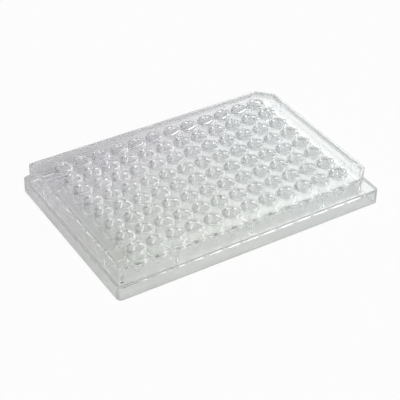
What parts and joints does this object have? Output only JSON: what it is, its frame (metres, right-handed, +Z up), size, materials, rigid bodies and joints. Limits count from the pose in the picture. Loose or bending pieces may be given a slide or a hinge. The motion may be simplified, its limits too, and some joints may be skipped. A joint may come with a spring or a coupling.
{
  "type": "well plate",
  "caption": "Clear moulded microplate: a grid of open cone-bottomed wells in a thin deck, a stepped skirt with a ledge, and cut corners at one end.",
  "frame": {"origin": "centre of the underside of the skirt, where the plate stands", "axes": "+X along the long side towards the two cut corners, +Y across the plate towards the back, +Z up out of the wells"},
  "size_m": [0.1278, 0.0854, 0.0143],
  "materials": {
    "clear_polystyrene": "clear and polished, as moulded"
  },
  "bodies": {
    "root": {"well_plate": "clear_polystyrene"}
  },
  "joints": []
}
